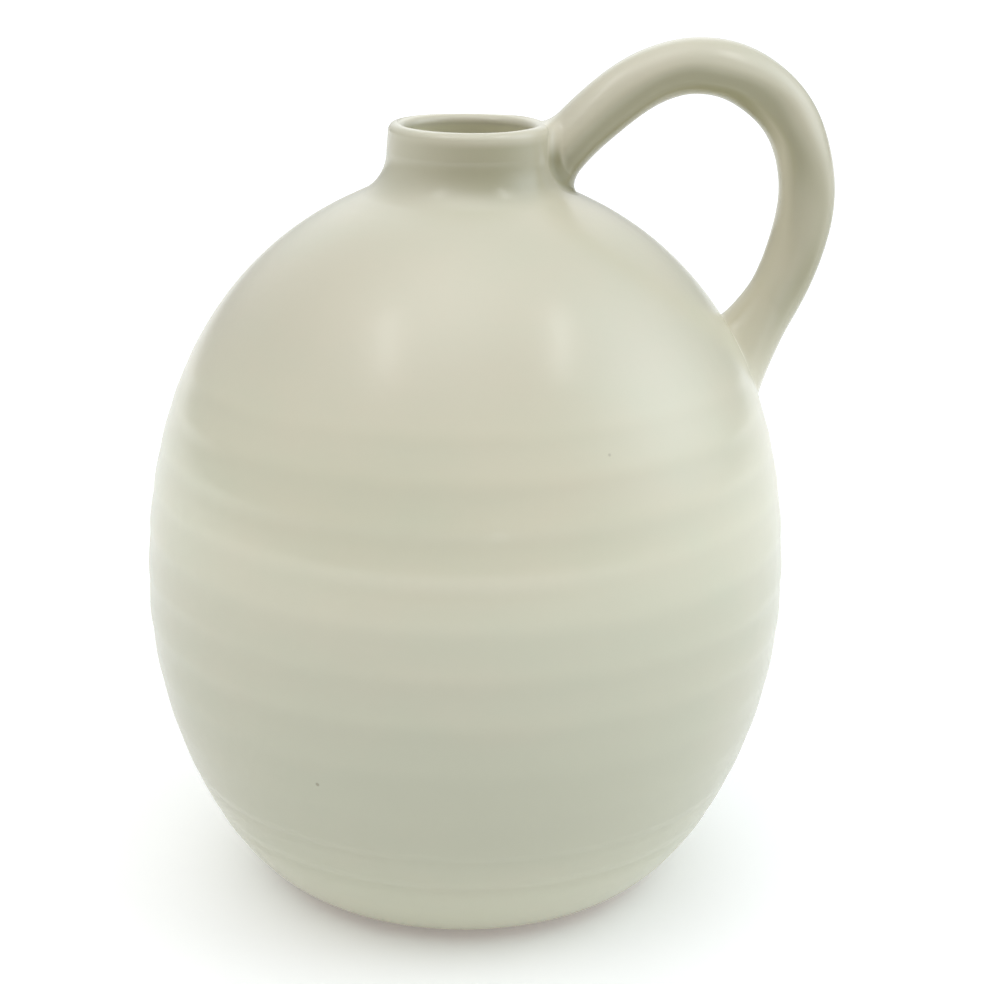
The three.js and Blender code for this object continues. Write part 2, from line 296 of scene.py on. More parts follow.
def lathe(radius, height, turn):
    """Points turned about Z: radius times cosine and sine of the angle, and the height."""
    return np.stack(np.broadcast_arrays(radius * np.cos(turn), radius * np.sin(turn), height), axis=-1)


def arc(centre, radius, start, end, steps):
    """A circular arc: the centre plus the radius times cosine and sine of an evenly growing angle."""
    turn = np.linspace(start, end, steps)
    return np.stack([centre[0] + radius * np.cos(turn), centre[1] + radius * np.sin(turn)], axis=-1)


def running_length(points):
    """The length along a line of points, from its first point to each."""
    steps = np.linalg.norm(np.diff(points, axis=0), axis=1)
    return np.concatenate([[0.0], np.cumsum(steps)])


def outside_outline(body):
    """Radius and height of the outside from the foot up to the lip's crest.

    A Bezier curve from the foot to the equator, one from the equator to the shoulder, a hollow arc into the
    neck, a straight line up the neck, and a quarter arc over the lip.
    """
    belly_steps, fillet_steps, neck_steps, lip_steps = 900, 200, 80, 100
    foot = np.array([body.foot_radius + body.foot_inset, body.foot_height])
    rise = np.array([math.cos(body.foot_slope), math.sin(body.foot_slope)])
    equator = np.array([body.belly_radius, body.equator_height])
    upright = np.array([0.0, 1.0])
    shoulder = np.array([body.shoulder_radius, body.shoulder_height])
    inward = np.array([-math.cos(body.shoulder_slope), math.sin(body.shoulder_slope)])
    knots = (
        (foot, rise, 0.0, body.foot_fullness),
        (equator, upright, body.lower_fullness, body.upper_fullness),
        (shoulder, inward, body.shoulder_fullness, 0.0),
    )
    lip_radius = body.wall_thickness / 2
    lip_outer = body.mouth_radius + body.wall_thickness
    neck_radius = lip_outer + body.neck_flare
    turn = math.pi / 2 - body.shoulder_slope
    run = body.shoulder_radius - neck_radius - body.neck_fillet_radius * (1 - math.cos(turn))
    straight_rise = run * math.tan(body.shoulder_slope)
    fillet_top = body.shoulder_height + straight_rise + body.neck_fillet_radius * math.sin(turn)
    fillet_centre = (neck_radius + body.neck_fillet_radius, fillet_top)
    fillet = arc(fillet_centre, body.neck_fillet_radius, math.pi + turn, math.pi, fillet_steps)
    lip_centre = (body.mouth_radius + lip_radius, body.rim_height - lip_radius)
    lip = arc(lip_centre, lip_radius, 0.0, math.pi / 2, lip_steps)
    neck = np.linspace(fillet[-1], lip[0], neck_steps)[1:-1]
    return np.concatenate([smooth_path(knots, belly_steps), fillet, neck, lip])


def smooth_step(value, low, high):
    """A smooth rise from 0 at low to 1 at high: the cubic 3t² - 2t³ of the share t of the way."""
    share = np.clip((value - low) / (high - low), 0.0, 1.0)
    return share**2 * (3 - 2 * share)


def slow_waves(waves, along, turn):
    """Waves added up: each is a share of the sine of its rounds of the angle, its rate along, and its start."""
    return sum(share * np.sin(rounds * turn + rate * along + start) for share, rounds, rate, start in waves)


def ring_level(marks, height, turn):
    """The height, moved by a sine of the angle round the jug, which tilts the rings, and by a small wave."""
    tilt = 0.5 * marks.ring_tilt * np.sin(turn)
    return height + tilt + marks.ring_wander * np.sin(2 * turn + 1.1 + 30 * height)


def ring_wave(marks, height, turn):
    """The throwing rings as a wave, about -1 in a hollow and 1 on a ridge.

    It is a sine of the ring count, which grows with the logarithm of the distance below the top ring,
    sharpened by a quarter of its octave. Slow waves round the jug make it patchy, and it ends above the foot
    and under the top ring.
    """
    level = ring_level(marks, height, turn)
    least = 0.05
    below = np.maximum(1 + marks.ring_widening * (marks.ring_top - level) / marks.ring_spacing, least)
    count = 2 * np.pi * np.log(below) / marks.ring_widening
    crossing = np.sin(2 * turn + 60 * height) * np.sin(3 * turn - 85 * height + 2)
    patches = 1 + marks.ring_patchiness * crossing
    above_foot = smooth_step(height, *RINGS_COME_IN)
    below_top = 1 - smooth_step(level - marks.ring_top, *RINGS_GO_OUT)
    return -(np.sin(count) + 0.25 * np.sin(2 * count)) * patches * above_foot * below_top


def turned_lines(marks, height, turn):
    """The two turned lines near the foot: a bell curve in height for each, 1 at its middle."""
    level = ring_level(marks, height, turn)
    lines = (marks.upper_line, marks.lower_line)
    return sum(np.exp(-(((level - line) / marks.line_width) ** 2)) for line in lines)


def relief(marks, height, turn):
    """How far the wall stands out from its smooth outline at a height and an angle round the jug.

    The rings' wave swings by a depth that a bell curve in height fades. The turned lines are grooves, a
    blister is a small round bell, and three slow waves make the wall a little uneven.
    """
    fade = np.exp(-(((height - marks.ring_centre) / marks.ring_spread) ** 2))
    swing = marks.faint_depth + (marks.ring_depth - marks.faint_depth) * fade
    rings = swing * ring_wave(marks, height, turn)
    lines = -marks.line_depth * turned_lines(marks, height, turn)
    waves = slow_waves(WALL_WAVES, height, turn)
    nub_across = np.sin((turn - marks.nub_turn) / 2) * 2 * BELLY_HIGH.y / marks.nub_size
    nub_up = (height - marks.nub_height) / marks.nub_size
    nub = marks.nub_rise * np.exp(-(nub_across**2) - nub_up**2)
    return rings + lines + marks.unevenness * waves + nub


class Skin:
    """The jug's outside: the outline turned about Z, standing out by the relief."""

    def __init__(self, body, marks):
        self.marks = marks
        self.outline = outside_outline(body)
        self.along = running_length(self.outline)
        self.slope = np.gradient(self.outline, self.along, axis=0)
        self.slope /= np.linalg.norm(self.slope, axis=1, keepdims=True)
        self.outward = np.stack([self.slope[:, 1], -self.slope[:, 0]], axis=-1)

    def read(self, table, along):
        """Both columns of a table at lengths along the outline."""
        return [np.interp(along, self.along, table[:, column]) for column in (0, 1)]

    def point(self, along, turn, depth=0.0):
        """The point at a length along the outline and an angle round Z, sunk by a depth along the normal."""
        radius, height = self.read(self.outline, along)
        out_radius, out_height = self.read(self.outward, along)
        out = relief(self.marks, height, turn) - depth
        return lathe(radius + out_radius * out, height + out_height * out, turn)

    def normal(self, along, turn):
        """The outward direction: the cross product of a small step round Z and one along the outline."""
        step = 0.0001
        upward = self.point(along + step, turn) - self.point(along - step, turn)
        sideways = self.point(along, turn + step) - self.point(along, turn - step)
        out = np.cross(sideways, upward)
        return out / np.linalg.norm(out, axis=-1, keepdims=True)

    def along_at(self, height):
        """The length along the outline at a height."""
        return np.interp(height, self.outline[:, 1], self.along)

    def gap(self, points):
        """How far points lie outside the skin, measured level."""
        radius = np.hypot(points[..., 0], points[..., 1])
        turn = np.arctan2(points[..., 1], points[..., 0])
        height = points[..., 2]
        wall = np.interp(height, self.outline[:, 1], self.outline[:, 0], right=0.0)
        return radius - wall - relief(self.marks, height, turn)

    def nearest(self, points):
        """The length along the outline nearest to each point: at its closest point, then on by its slope."""
        place = np.stack([np.hypot(points[..., 0], points[..., 1]), points[..., 2]], axis=-1)
        away = np.linalg.norm(self.outline - place[..., None, :], axis=-1)
        closest = np.argmin(away, axis=-1)
        onward = np.sum((place - self.outline[closest]) * self.slope[closest], axis=-1)
        return self.along[closest] + onward


class Roll:
    """The handle: a round roll of clay along a centre line that lies in the XZ plane."""

    def __init__(self, body, handle, skin):
        self.handle = handle
        self.centre = self.centre_line(body, handle, skin)
        self.along = running_length(self.centre)
        self.tangent = np.gradient(self.centre, self.along, axis=0)
        self.tangent /= np.linalg.norm(self.tangent, axis=1, keepdims=True)

    @staticmethod
    def centre_line(body, handle, skin):
        """Three Bezier curves through the apex and the outermost point, with a straight run at each end."""
        steps = 400
        into = 3 * handle.radius
        neck_radius = body.mouth_radius + body.wall_thickness + body.neck_flare
        upward = np.array([math.cos(handle.top_slope), math.sin(handle.top_slope)])
        downward = -np.array([math.cos(handle.foot_slope), math.sin(handle.foot_slope)])
        start = np.array([neck_radius, body.rim_height - handle.top_drop])
        apex = np.array([neck_radius + handle.apex_reach, handle.apex_height - handle.radius])
        outer = np.array([handle.outer_reach - handle.radius, body.rim_height - handle.outer_drop])
        foot_radius = np.interp(handle.foot_height, skin.outline[:, 1], skin.outline[:, 0])
        end = np.array([foot_radius, handle.foot_height])
        knots = (
            (start, upward, 0.0, handle.bend_start),
            (apex, np.array([1.0, 0.0]), handle.bend_before_apex, handle.bend_after_apex),
            (outer, np.array([0.0, -1.0]), handle.bend_above_outer, handle.bend_below_outer),
            (end, downward, handle.bend_end, 0.0),
        )
        first = start - upward * into
        last = end + downward * into
        return np.concatenate([[first], smooth_path(knots, steps), [last]])

    def radius_at(self, along):
        """The roll's radius, which grows evenly from the neck's end to the belly's."""
        share = along / self.along[-1]
        return self.handle.radius + self.handle.taper * (2 * share - 1)

    def point(self, along, turn, share=1.0, extra=0.0):
        """The point at a length along the centre line and an angle round it.

        The offset is the radius times a share, plus an extra length, plus two slow waves along and round
        the roll. Angle 0 is the outer side of the loop.
        """
        x, z = [np.interp(along, self.along, self.centre[:, column]) for column in (0, 1)]
        tangent_x, tangent_z = [np.interp(along, self.along, self.tangent[:, column]) for column in (0, 1)]
        scale = np.hypot(tangent_x, tangent_z)
        wave = slow_waves(ROLL_WAVES, along, turn)
        radius = self.radius_at(along) * share + extra + self.handle.unevenness * share * wave
        in_plane = radius * np.cos(turn) / scale
        return np.stack([x - tangent_z * in_plane, radius * np.sin(turn), z + tangent_x * in_plane], axis=-1)

    def root(self, skin, turn, share, depth, at_neck):
        """The length at which a line of the roll is a depth inside the skin, found by halving."""
        search = 6 * self.handle.radius
        inside = np.zeros_like(turn) if at_neck else np.full_like(turn, self.along[-1])
        outside = inside + (search if at_neck else -search)
        for _ in range(40):
            middle = (inside + outside) / 2
            clear = skin.gap(self.point(middle, turn, share)) > -depth
            outside = np.where(clear, middle, outside)
            inside = np.where(clear, inside, middle)
        return (inside + outside) / 2


# Meshes


def grid_quads(rows, columns, close_rows=False):
    """Four corners of each cell of a grid whose points run row by row, with its columns closed into rings."""
    row = np.arange(rows if close_rows else rows - 1)[:, None]
    column = np.arange(columns)[None, :]
    next_row = (row + 1) % rows
    next_column = (column + 1) % columns
    corners = (
        row * columns + column,
        row * columns + next_column,
        next_row * columns + next_column,
        next_row * columns + column,
    )
    return np.stack(corners, axis=-1).reshape(-1, 4)


def pole_triangles(pole, ring):
    """A fan of triangles from a pole to a closed ring of points."""
    return np.stack([np.full(len(ring), pole), ring, np.roll(ring, -1)], axis=-1)


def outward_faces(points, quads, fans):
    """All faces as lists, turned over together if the volume that they enclose is negative."""
    triangles = np.concatenate([quads[:, [0, 1, 2]], quads[:, [0, 2, 3]], *fans])
    a, b, c = (points[triangles[:, corner]] for corner in range(3))
    volume = np.einsum("ij,ij->", a, np.cross(b, c))
    faces = [group if volume > 0 else group[:, ::-1] for group in (quads, *fans)]
    return [face for group in faces for face in group.tolist()]


def end_fans(count, columns):
    """The fans of the first and of the last ring of a grid, whose two poles follow its points."""
    first = pole_triangles(count, np.arange(columns))[:, ::-1]
    last = pole_triangles(count + 1, np.arange(count - columns, count))
    return [first, last]


def add_piece(name, rows, material, node, normals=None, poles=()):
    """A smooth closed mesh on rings of points that rides on the jug's body and stands for a CAD node.

    The last ring joins the first, unless there are poles, which close both ends. Given normals keep the
    shading even across the seam to the next piece; a zero normal is left to the mesh.
    """
    sharp = math.radians(50)
    columns = rows.shape[1]
    count = len(rows) * columns
    points = np.concatenate([rows.reshape(-1, 3), np.reshape(poles, (-1, 3))])
    quads = grid_quads(len(rows), columns, close_rows=len(poles) == 0)
    fans = end_fans(count, columns) if len(poles) else []
    mesh = bpy.data.meshes.new(name)
    mesh.from_pydata(points.tolist(), [], outward_faces(points, quads, fans))
    mesh.shade_smooth()
    mesh.set_sharp_from_angle(angle=sharp)
    if normals is not None:
        given = np.zeros_like(points)
        given[:count] = normals.reshape(-1, 3)
        mesh.normals_split_custom_set_from_vertices(given.tolist())
    mesh.materials.append(material)
    piece = bpy.data.objects.new(name, mesh)
    bpy.context.scene.collection.objects.link(piece)
    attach(piece, BODY)
    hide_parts(node)
    return piece


def add_attribute(piece, name, values):
    """Keeps a number for each point of the rings in the mesh, for the glaze to read, and 0 for each pole."""
    full = np.zeros(len(piece.data.vertices), np.float32)
    full[: values.size] = values.ravel()
    attribute = piece.data.attributes.new(name, "FLOAT", "POINT")
    attribute.data.foreach_set("value", full)


def row_normals(rows):
    """Normals of rows that are closed into rings: the cross products of the steps along and across."""
    along = np.gradient(rows, axis=0)
    across = np.roll(rows, -1, axis=1) - np.roll(rows, 1, axis=1)
    out = np.cross(across, along)
    return out / np.linalg.norm(out, axis=-1, keepdims=True)


def handle_painted_shade(normals):
    """How much painted shade darkens the glaze at each point of the handle, from its normals.

    The painted shade is none over the loop's top and inner edge, strong on the lower half of its two broad
    sides, and strongest underneath and down the outer side. It is the larger of a step of the normal's Y times
    one of its fall, and a step of its fall that its X adds to.
    """
    fall = -normals[..., 2]
    broad_side = 0.94 * smooth_step(np.abs(normals[..., 1]), 0.5, 0.95) * smooth_step(fall, -0.3, 0.2)
    underneath = smooth_step(0.35 * normals[..., 0] + fall, -0.1, 0.6)
    return np.maximum(broad_side, underneath)


def even_steps(start, end, spacing):
    """Lengths from start to end, evenly spaced, with both ends."""
    return np.linspace(start, end, max(2, math.ceil(abs(end - start) / spacing) + 1))


def full_turn(columns):
    """Angles of a full turn, without the last, which is the first again."""
    return np.arange(columns) * 2 * np.pi / columns


def inside_along(skin, wall, height):
    """The length along the outline at which the inner face of the wall is at a height."""
    radius, level = skin.read(skin.outline, skin.along)
    _, out_height = skin.read(skin.outward, skin.along)
    rising = np.maximum.accumulate(level - out_height * wall)
    return np.interp(height, rising, skin.along)


def wall_rows(skin, wall, low, high, outer_spacing, inner_spacing, lip=None):
    """Rows of points and of normals of a turned wall between two heights.

    The rows run up its outside, over the lip if it has one, and down its inside. The lip's normals are zero.
    """
    outer_end = skin.along[-1] if lip is not None else skin.along_at(high)
    inner_start = skin.along_at(high) if lip is not None else inside_along(skin, wall, high)
    outer = even_steps(skin.along_at(low), outer_end, outer_spacing)[:, None]
    inner = even_steps(inner_start, inside_along(skin, wall, low), inner_spacing)[:, None]
    turn = full_turn(BODY_COLUMNS)
    points = [skin.point(outer, turn)]
    normals = [skin.normal(outer, turn)]
    if lip is not None:
        points.append(lip(turn))
        normals.append(np.zeros_like(points[-1]))
    points.append(skin.point(inner, turn, wall))
    normals.append(-skin.normal(inner, turn))
    return np.concatenate(points), np.concatenate(normals)


# Shader maths


class Value:
    """A number that varies over a surface: arithmetic on it adds Math nodes."""

    def __init__(self, maker, socket):
        self.maker = maker
        self.socket = socket

    def math(self, operation, *others):
        inputs = dict(enumerate((self, *others)))
        return self.maker.node("ShaderNodeMath", {"operation": operation}, inputs)

    def __add__(self, other):
        return self.math("ADD", other)

    def __radd__(self, other):
        return self.math("ADD", other)

    def __sub__(self, other):
        return self.math("SUBTRACT", other)

    def __rsub__(self, other):
        return self.maker.node("ShaderNodeMath", {"operation": "SUBTRACT"}, {0: other, 1: self})

    def __mul__(self, other):
        return self.math("MULTIPLY", other)

    def __rmul__(self, other):
        return self.math("MULTIPLY", other)

    def __truediv__(self, other):
        return self.math("DIVIDE", other)

    def __pow__(self, other):
        return self.math("POWER", other)

    def clamp(self):
        """The value held between 0 and 1."""
        return self.maker.node("ShaderNodeClamp", {}, {"Value": self})

    def step(self, low, high):
        """A smooth rise from 0 at low to 1 at high."""
        settings = {"interpolation_type": "SMOOTHSTEP"}
        inputs = {"Value": self, "From Min": low, "From Max": high}
        return self.maker.node("ShaderNodeMapRange", settings, inputs)


class NodeMaker:
    """Makes the nodes of one tree."""

    def __init__(self, owner):
        owner.use_nodes = True
        self.tree = owner.node_tree
        self.tree.nodes.clear()

    def node(self, kind, settings, inputs, output=0):
        """A node of a kind: its settings are set first, then the values or links of its sockets."""
        node = self.tree.nodes.new(kind)
        for key, setting in settings.items():
            setattr(node, key, setting)
        for key, given in inputs.items():
            socket = node.inputs[key]
            if isinstance(given, Value):
                self.tree.links.new(given.socket, socket)
            else:
                socket.default_value = given
        return Value(self, node.outputs[output]) if node.outputs else node

    def vector(self, operation, first, second=(0.0, 0.0, 0.0), output="Value"):
        """The outcome of Vector Math on one or two vectors."""
        inputs = {0: first, 1: second}
        return self.node("ShaderNodeVectorMath", {"operation": operation}, inputs, output)


class MaterialMaker(NodeMaker):
    """Makes one material, and the nodes in it."""

    def __init__(self, name):
        self.material = bpy.data.materials.new(name)
        super().__init__(self.material)
        self.place = self.node("ShaderNodeTexCoord", {}, {}, "Object")
        self.height = self.node("ShaderNodeSeparateXYZ", {}, {"Vector": self.place}, "Z")
        self.radius = self.vector("LENGTH", self.vector("MULTIPLY", self.place, (1, 1, 0), "Vector"))

    def reach(self, turn):
        """How far a point lies from the axis in the direction at an angle round Z."""
        return self.vector("DOT_PRODUCT", self.place, (math.cos(turn), math.sin(turn), 0.0))

    def attribute(self, name):
        """A number that the mesh keeps for each point, or 0 where it keeps none."""
        return self.node("ShaderNodeAttribute", {"attribute_name": name}, {}, "Fac")

    def noise(self, scale, detail=2.0, roughness=0.5, seed=0.0, stretch=(1.0, 1.0, 1.0)):
        """Smooth noise on object coordinates, from 0 to 1, squeezed along each axis, moved by its seed."""
        mapping = {"Vector": self.place, "Location": (seed, seed, seed), "Scale": stretch}
        squeezed = self.node("ShaderNodeMapping", {}, mapping)
        inputs = {"Vector": squeezed, "Scale": scale, "Detail": detail, "Roughness": roughness}
        return self.node("ShaderNodeTexNoise", {}, inputs)

    def tint(self, base, shade):
        """A colour made darker by a shade."""
        grey = self.node("ShaderNodeCombineColor", {}, {"Red": shade, "Green": shade, "Blue": shade})
        settings = {"data_type": "RGBA", "blend_type": "MULTIPLY"}
        return self.node("ShaderNodeMix", settings, {0: 1.0, 6: base, 7: grey}, 2)

    def mix(self, share, first, second):
        """One colour shading into another."""
        return self.node("ShaderNodeMix", {"data_type": "RGBA"}, {0: share, 6: first, 7: second}, 2)

    def bump(self, height, distance, strength=1.0):
        """A normal that is tilted by a height in metres."""
        return self.node("ShaderNodeBump", {}, {"Strength": strength, "Distance": distance, "Height": height})

    def surface(self, inputs):
        """A Principled surface as the material's output."""
        shader = self.node("ShaderNodeBsdfPrincipled", {}, inputs)
        self.node("ShaderNodeOutputMaterial", {}, {"Surface": shader})
        return self.material


def rgba(value):
    """A colour with full alpha."""
    return (*value, 1.0)


def glaze_colour(maker, finish, shade, painted_shade):
    """The glaze's colour under a given shade, mixed towards an olive painted shade.

    It is greener low on the belly and warmer above, drifts in slow flat clouds and finer ones along the rings,
    is a little lighter on each ring and darker between two, partly where it pools and partly as painted light
    and shade of the rings, and holds rare iron specks.
    """
    drift = maker.noise(15.0, seed=1.3, stretch=(1.0, 1.0, 1.4))
    streak = maker.noise(48.0, 3.0, seed=4.1, stretch=(1.0, 1.0, 2.0))
    upward = 0.9 * maker.height.step(*WARM_TONE_COMES_IN)
    warmth = (upward + 1.4 * (drift - 0.5) + 0.7 * (streak - 0.5)).clamp()
    base = maker.mix(warmth, rgba(finish.glaze_green), rgba(finish.glaze_warm))
    base = maker.mix(painted_shade, base, rgba(finish.olive_painted_shade))
    ring_pooling_and_shade = finish.ring_tone * maker.attribute(RINGS_ATTRIBUTE)
    base = maker.tint(base, shade * (0.985 + 0.03 * drift + ring_pooling_and_shade))
    cell = {"Vector": maker.place, "Scale": 70.0}
    distance = maker.node("ShaderNodeTexVoronoi", {}, cell, "Distance")
    chosen = maker.node("ShaderNodeTexVoronoi", {}, cell, "Color")
    rare = maker.node("ShaderNodeSeparateColor", {}, {"Color": chosen}, "Red").step(0.99, 0.995)
    speck = (1.0 - distance.step(0.02, 0.05)) * rare * 0.3
    away = maker.vector("DISTANCE", maker.place, finish.speck_place)
    lone_speck = 0.45 * (1.0 - away.step(0.0003, 0.0008))
    return maker.mix((speck + lone_speck).clamp(), base, rgba(finish.speck))


def glaze_inputs(maker, finish, shade, painted_shade):
    """A satin glaze: its colour, a gloss that varies a little, and a faintly rippled skin."""
    ripple_depth = 0.00006
    base = glaze_colour(maker, finish, shade, painted_shade)
    gloss = finish.roughness - 0.04 + 0.08 * maker.noise(40.0, seed=7.7)
    normal = maker.bump(maker.noise(170.0, seed=2.2), ripple_depth)
    return {"Base Color": base, "Roughness": gloss, "Normal": normal, "IOR": finish.glaze_index}


def body_shade(maker, finish):
    """Painted shade on the body's glaze: darker low on the belly and less so at the foot, and lighter in a band
    over the rings.
    """
    height = maker.height
    low = finish.low_painted_shade * (1.0 - height.step(*LOW_SHADE_GOES_OUT))
    foot = (finish.low_painted_shade - finish.foot_painted_shade) * (1.0 - height.step(*FOOT_SHADE_GOES_OUT))
    over_rings = height.step(*RING_LIGHT_COMES_IN) * (1.0 - height.step(*RING_LIGHT_GOES_OUT))
    return 1.0 - low + foot + finish.ring_lightness * over_rings


def neck_painted_shade(maker, finish, body):
    """Painted shade on the neck: darkest in front and behind, less at the sides, none at the lip."""
    above_fillet = maker.height.step(body.shoulder_height + 0.0025, body.shoulder_height + 0.0085)
    below_lip = 1.0 - maker.height.step(body.rim_height - 0.0045, body.rim_height - 0.0012)
    front = (maker.reach(finish.neck_turn) / maker.radius).math("ABSOLUTE") ** 2
    share = finish.neck_side_share + (1.0 - finish.neck_side_share) * front
    return finish.neck_painted_shade_strength * share * above_fillet * below_lip


def body_glaze(finish, body):
    """The glaze on the belly and the neck, with painted shade low on the belly and on the neck, and painted
    light inside the mouth.
    """
    maker = MaterialMaker("cream_glaze_on_body")
    wall = body.wall_thickness
    outside = maker.radius.step(body.mouth_radius + 0.1 * wall, body.mouth_radius + 0.4 * wall)
    inside = (1.0 - outside) * (1.0 - maker.height.step(body.rim_height - 0.004, body.rim_height - 0.001))
    painted_shade = neck_painted_shade(maker, finish, body) * outside
    glaze = glaze_inputs(maker, finish, body_shade(maker, finish), painted_shade)
    # Painted light: the inside of the mouth is given a lighter colour
    glaze["Base Color"] = maker.mix(inside, glaze["Base Color"], rgba(finish.mouth_painted_light))
    return maker.surface(glaze)


def handle_glaze(finish):
    """The glaze on the handle and its joints, with painted shade that is weaker near the belly, and the belly's
    painted shade and tone where the joints meet it.
    """
    maker = MaterialMaker("cream_glaze_on_handle")
    away_from_belly = 0.45 + 0.55 * maker.height.step(*HANDLE_PAINTED_SHADE_COMES_IN)
    painted_shade = finish.handle_painted_shade_strength * away_from_belly * maker.attribute(PAINTED_SHADE_ATTRIBUTE)
    shade = 1.0 + (body_shade(maker, finish) - 1.0) * maker.attribute(SKIN_ATTRIBUTE)
    return maker.surface(glaze_inputs(maker, finish, shade, painted_shade))


def foot_clay(finish, body):
    """Bare fired clay under the foot, up to the wavering edge of the glaze above it."""
    maker = MaterialMaker("bare_clay_foot")
    grain = maker.noise(900.0, 4.0, 0.6, seed=3.0)
    patch = maker.noise(60.0, 2.0, seed=5.0)
    clay = maker.mix(grain.step(0.35, 0.7), rgba(finish.clay_dark), rgba(finish.clay))
    clay = maker.mix(patch * 0.35, clay, rgba(finish.clay_dark))
    edge = body.foot_height + 0.0004 + 0.0012 * maker.noise(70.0, 1.0, seed=8.0)
    outside = maker.radius.step(body.foot_radius - 0.0004, body.foot_radius + 0.0004)
    glazed = ((maker.height - edge) * 2500.0).clamp() * outside
    inside_floor = maker.height.step(body.floor_thickness - 0.0004, body.floor_thickness - 0.0002)
    glazed = (glazed + inside_floor).clamp()
    # The glaze above the foot carries the belly's painted shade
    glaze = glaze_inputs(maker, finish, body_shade(maker, finish), 0.0)
    gloss = 0.9 + (glaze["Roughness"] - 0.9) * glazed
    colour_here = maker.mix(glazed, clay, glaze["Base Color"])
    normal = maker.bump(grain * (1.0 - glazed), 0.00012)
    shine = {"Roughness": gloss, "IOR": finish.glaze_index}
    return maker.surface({"Base Color": colour_here, "Normal": normal, **shine})


def floor_material(studio):
    """A matt pale floor with a barely visible unevenness of tone, lit a little from below."""
    maker = MaterialMaker("pale_floor")
    tone = maker.noise(1.5, 2.0, seed=1.0)
    darker = tuple(0.985 * part for part in studio.floor)
    base = maker.mix(tone, rgba(darker), rgba(studio.floor))
    glow = {"Emission Color": rgba(studio.floor), "Emission Strength": studio.floor_glow}
    return maker.surface({"Base Color": base, "Roughness": 0.9, **glow})


def shared_material(name, make, *arguments):
    """The material of this name, made by its function if it isn't there yet."""
    return bpy.data.materials.get(name) or make(*arguments)


def soft_sky(world, studio):
    """Surroundings made of soft lights: each is its strength times a power of the cosine of the angle to it.

    They light the jug and show in its gloss. What is seen straight behind the jug is a plain backdrop.
    """
    maker = NodeMaker(world)
    direction = maker.node("ShaderNodeTexCoord", {}, {}, "Generated")
    total = 0.0
    blue = 0.0
    for azimuth, elevation, strength, blueness in SOFT_LIGHTS.values():
        cosine = maker.vector("DOT_PRODUCT", direction, studio_direction(studio, azimuth, elevation))
        light = strength * cosine.math("MAXIMUM", 0.0) ** studio.narrowness
        total = total + light
        blue = blue + blueness * light
    channels = {"Red": total - blue, "Green": total, "Blue": total + blue}
    mixed = maker.node("ShaderNodeCombineColor", {}, channels)
    lights = maker.node("ShaderNodeBackground", {}, {"Color": mixed})
    backdrop = maker.node("ShaderNodeBackground", {}, {"Color": rgba(studio.backdrop)})
    seen = maker.node("ShaderNodeLightPath", {}, {}, "Is Camera Ray")
    both = maker.node("ShaderNodeMixShader", {}, {0: seen, 1: lights, 2: backdrop})
    maker.node("ShaderNodeOutputWorld", {}, {"Surface": both})


def studio_direction(studio, azimuth, elevation):
    """A direction: degrees from the camera's side towards the picture's right, and degrees up."""
    level = math.radians(azimuth)
    up = math.radians(elevation)
    flat = Vector((math.sin(level) * math.cos(up), -math.cos(level) * math.cos(up), math.sin(up)))
    return Matrix.Rotation(-studio.handle_turn, 3, "Z") @ flat


# Pieces


class JUG_OT_base(bpy.types.Operator):
    """Make the base: floor slab and turned foot"""

    bl_idname = "jug.make_base"
    bl_label = "Make Base"

    def execute(self, context):
        scene = context.scene
        body = scene.jug_body
        skin = Skin(body, scene.jug_relief)
        turn = full_turn(BODY_COLUMNS)
        profile = self.foot_outline(body)
        foot = lathe(profile[:, :1], profile[:, 1:], turn)
        side_along = even_steps(0.0, skin.along_at(body.floor_thickness), FINE_ROWS)[:, None]
        side = skin.point(side_along, turn)
        rim = np.linalg.norm(side[-1, 0, :2])
        floor_radius = np.linspace(rim, 0.0, 40)[1:-1, None]
        rows = np.concatenate([foot, side, lathe(floor_radius, body.floor_thickness, turn)])
        normals = np.zeros_like(rows)
        normals[len(foot) + 1 : len(foot) + len(side)] = skin.normal(side_along[1:], turn)
        poles = ((0, 0, 0), (0, 0, body.floor_thickness))
        material = foot_clay(scene.jug_finish, body)
        add_piece("turned_base", rows, material, "base", normals, poles)
        return {"FINISHED"}

    @staticmethod
    def foot_outline(body):
        """Radius and height from the middle of the underside, with its turning marks, up to the foot's top."""
        depth = 0.00012
        pitch = 0.0042
        fade_start, fade_end = 0.046, 0.052
        radius = even_steps(0.0, body.foot_radius - body.foot_edge, PLAIN_ROWS)[1:]
        fade = np.clip((fade_end - radius) / (fade_end - fade_start), 0, 1)
        marks = depth * (1 - np.cos(2 * np.pi * radius / pitch)) * fade
        edge_centre = (body.foot_radius - body.foot_edge, body.foot_edge)
        edge = arc(edge_centre, body.foot_edge, -math.pi / 2, 0.0, 14)[1:]
        foot_top = (body.foot_radius, body.foot_height)
        return np.concatenate([np.stack([radius, marks], axis=-1), edge, [foot_top]])


